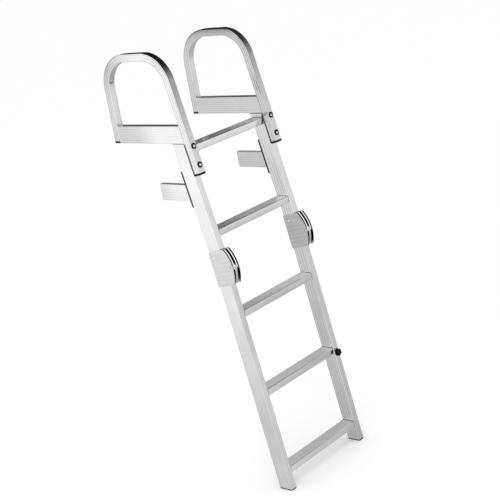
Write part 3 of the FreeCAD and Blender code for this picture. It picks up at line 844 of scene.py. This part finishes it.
def wallLevel(angle, height):
    back = min(max(0.5 + studio["wallPass"] * math.sin(math.radians(angle)), 0.0), 1.0)
    return blend(between(studio["frontLevels"], height), between(studio["backLevels"], height), back)


def sideLevel(y, height):
    ahead = y - studio["sideSplit"][0] - studio["sideSplit"][1] * height
    right = 0.5 + 0.5 * math.tanh(ahead / studio["sideEdge"])
    corner = between(studio["cornerRise"], height) * between(studio["cornerAhead"], y)
    level = blend(between(studio["sideLeft"], height), between(studio["sideRight"], height), right)
    return level * (1 - corner)


def underLevel(x, y):
    least, most = studio["underRange"]
    left = min(max(-x - studio["underBack"] * y, least), most)
    return studio["underLevel"] + studio["underOut"] * math.hypot(x, y) + studio["underLeft"] * left


# a bowl of card round the ladder that lights its metal: white low down, a dark room above
sides = studio["bowlSides"]
cardFloor = floorLevel + studio["lift"]
cardPoints = [(*studio["middle"], cardFloor)]
cardLevels = [underLevel(0, 0)]
radii = [studio["bowlRadius"] * (i + 1) / studio["bowlRings"] for i in range(studio["bowlRings"])]
heights = [studio["wallFoot"] + studio["wallStep"] * i for i in range(studio["wallSteps"])]
heights += [studio["upperFoot"] * studio["upperGrowth"] ** i for i in range(studio["upperSteps"])]
rows = [(radius, None) for radius in radii] + [(studio["bowlRadius"], height) for height in heights]
for radius, height in rows:
    for i in range(sides):
        angle = 360.0 * i / sides
        x = radius * math.cos(math.radians(angle))
        y = radius * math.sin(math.radians(angle))
        z = cardFloor if height is None else height
        cardPoints.append((studio["middle"][0] + x, studio["middle"][1] + y, z))
        cardLevels.append(underLevel(x, y) if height is None else wallLevel(angle, height))
cardFaces = [(0, 1 + i, 1 + (i + 1) % sides) for i in range(sides)]
for row in range(len(rows) - 1):
    for i in range(sides):
        k = (i + 1) % sides
        start = 1 + row * sides
        cardFaces.append((start + i, start + k, start + sides + k, start + sides + i))
cardMaterial = bpy.data.materials.new("graded studio card")
cardMaterial.use_nodes = True
tree = cardMaterial.node_tree
tree.nodes.clear()
level = addNode(tree, "ShaderNodeVertexColor", layer_name="cardLevel")
glow = addNode(tree, "ShaderNodeEmission", {"Color": level.outputs["Color"]})
addNode(tree, "ShaderNodeOutputMaterial", {"Surface": glow.outputs["Emission"]})


def hangCard(name, points, faces, levels):
    # a glowing card that only the metal's reflections see
    mesh = bpy.data.meshes.new(name)
    mesh.from_pydata(points, [], faces)
    shade = mesh.color_attributes.new("cardLevel", "FLOAT_COLOR", "POINT")
    shade.data.foreach_set("color", [c for level in levels for c in (level, level, level, 1.0)])
    mesh.materials.append(cardMaterial)
    card = bpy.data.objects.new(name, mesh)
    bpy.context.scene.collection.objects.link(card)
    card.visible_camera = False
    card.visible_diffuse = False
    card.visible_shadow = False
    card.visible_transmission = False
    card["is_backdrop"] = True


hangCard("studioBowl", cardPoints, cardFaces, cardLevels)

across, upright = studio["sideSteps"]
sideFoot = floorLevel + 2 * studio["lift"]
sidePoints = []
sideLevels = []
for i in range(across + 1):
    for j in range(upright + 1):
        y = studio["sideStart"] + studio["sideLength"] * i / across
        z = sideFoot + (studio["sideTop"] - floorLevel) * j / upright
        sidePoints.append((studio["sideX"], y, z))
        sideLevels.append(sideLevel(y, z))
sideFaces = []
for i in range(across):
    for j in range(upright):
        start = i * (upright + 1) + j
        sideFaces.append((start, start + 1, start + upright + 2, start + upright + 1))
hangCard("studioSideCard", sidePoints, sideFaces, sideLevels)

world = bpy.data.worlds.new("studio")
bpy.context.scene.world = world
world.use_nodes = True
tree = world.node_tree
tree.nodes.clear()
sky = addNode(tree, "ShaderNodeBackground", {"Color": (1, 1, 1, 1), "Strength": studio["worldLevel"]})
addNode(tree, "ShaderNodeOutputWorld", {"Surface": sky.outputs["Background"]})

# one soft lamp at the upper left, which reflections don't see
key = {"place": (-1.3, -1.2, 1.5), "target": (0.19, -0.2, -0.4), "size": 1.4, "power": 12.0}
keyLight = bpy.data.lights.new("keyLamp", "AREA")
keyLight.shape = "SQUARE"
keyLight.size = key["size"]
keyLight.energy = key["power"]
keyLamp = bpy.data.objects.new("keyLamp", keyLight)
keyLamp.location = key["place"]
aim = Vector(key["target"]) - Vector(key["place"])
keyLamp.rotation_euler = aim.to_track_quat("-Z", "Y").to_euler()
keyLamp.visible_camera = False
keyLamp.visible_glossy = False
bpy.context.scene.collection.objects.link(keyLamp)

# Camera, at the photograph's angle

view = {"place": (-2.7505, -2.9535, 0.7961), "turn": (73.1695, 9.8924, -49.3781), "lens": 92.184,
        "sensor": 36.0, "clipEnd": 200.0}
camera = bpy.data.objects.new("camera", bpy.data.cameras.new("camera"))
camera.location = view["place"]
camera.rotation_euler = [math.radians(a) for a in view["turn"]]
camera.data.sensor_width = view["sensor"]
camera.data.lens = view["lens"]
camera.data.clip_end = view["clipEnd"]
bpy.context.scene.collection.objects.link(camera)
bpy.context.scene.camera = camera
bpy.context.scene.view_settings.view_transform = "Standard"
print("studio and camera set")

lowCorner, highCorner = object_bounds()
